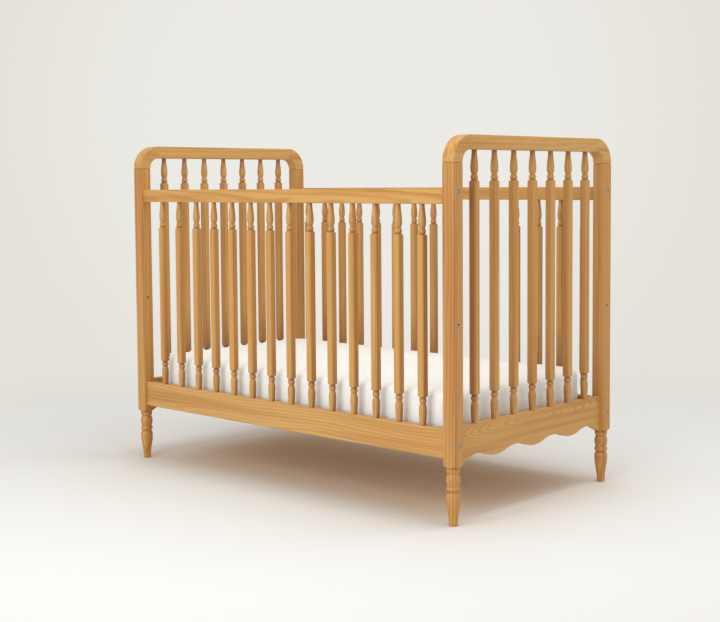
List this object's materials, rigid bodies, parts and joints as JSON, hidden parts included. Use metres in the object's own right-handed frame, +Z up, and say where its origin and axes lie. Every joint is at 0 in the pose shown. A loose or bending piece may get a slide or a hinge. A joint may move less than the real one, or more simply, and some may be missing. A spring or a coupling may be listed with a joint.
{
  "type": "baby crib",
  "caption": "Wooden baby crib with turned spindles, rounded tall end panels, scalloped end aprons and a sheeted mattress on a slatted base.",
  "frame": {"origin": "on the floor under the middle of the crib", "axes": "+X along the length to the right-hand end, +Y across to the back, +Z up"},
  "size_m": [1.4276, 0.778, 1.084],
  "materials": {
    "pine": "honey pine under clear satin lacquer",
    "base_wood": "pale planed pine, unlacquered",
    "dowel_wood": "plain beech",
    "plated_steel": "zinc plated",
    "screw_steel": "zinc plated",
    "ticking": "white woven ticking over foam",
    "sheet_cotton": "plain white cotton"
  },
  "bodies": {
    "frame": {"barrel_nuts": "plated_steel", "base_ledge_back": "base_wood", "base_ledge_front": "base_wood", "connector_bolts": "plated_steel", "corner_block_back_left": "pine", "corner_block_back_right": "pine", "corner_block_front_left": "pine", "corner_block_front_right": "pine", "dowels": "dowel_wood", "end_apron_left": "pine", "end_apron_right": "pine", "end_spindles_left": "pine", "end_spindles_right": "pine", "end_top_rail_left": "pine", "end_top_rail_right": "pine", "height_bushes": "plated_steel", "ledge_screws": "screw_steel", "post_back_left": "pine", "post_back_right": "pine", "post_front_left": "pine", "post_front_right": "pine", "side_bottom_rail_back": "pine", "side_bottom_rail_front": "pine", "side_top_rail_back": "pine", "side_top_rail_front": "pine", "spindle_back_01": "pine", "spindle_back_02": "pine", "spindle_back_03": "pine", "spindle_back_04": "pine", "spindle_back_05": "pine", "spindle_back_06": "pine", "spindle_back_07": "pine", "spindle_back_08": "pine", "spindle_back_09": "pine", "spindle_back_10": "pine", "spindle_back_11": "pine", "spindle_back_12": "pine", "spindle_back_13": "pine", "spindle_back_14": "pine", "spindle_back_15": "pine", "spindle_front_01": "pine", "spindle_front_02": "pine", "spindle_front_03": "pine", "spindle_front_04": "pine", "spindle_front_05": "pine", "spindle_front_06": "pine", "spindle_front_07": "pine", "spindle_front_08": "pine", "spindle_front_09": "pine", "spindle_front_10": "pine", "spindle_front_11": "pine", "spindle_front_12": "pine", "spindle_front_13": "pine", "spindle_front_14": "pine"},
    "mattress_base": {"base_side_rail_back": "base_wood", "base_side_rail_front": "base_wood", "base_slats": "base_wood", "slat_screws": "screw_steel"},
    "mattress": {"fitted_sheet": "sheet_cotton", "mattress": "ticking"}
  },
  "joints": [
    {"name": "base_height", "type": "slide", "parent": "frame", "child": "mattress_base", "axis": [0, 0, 1], "range_m": [0, 0.347]},
    {"name": "mattress_lift", "type": "slide", "parent": "mattress_base", "child": "mattress", "axis": [0, 0, 1], "range_m": [0, 0.85]}
  ]
}
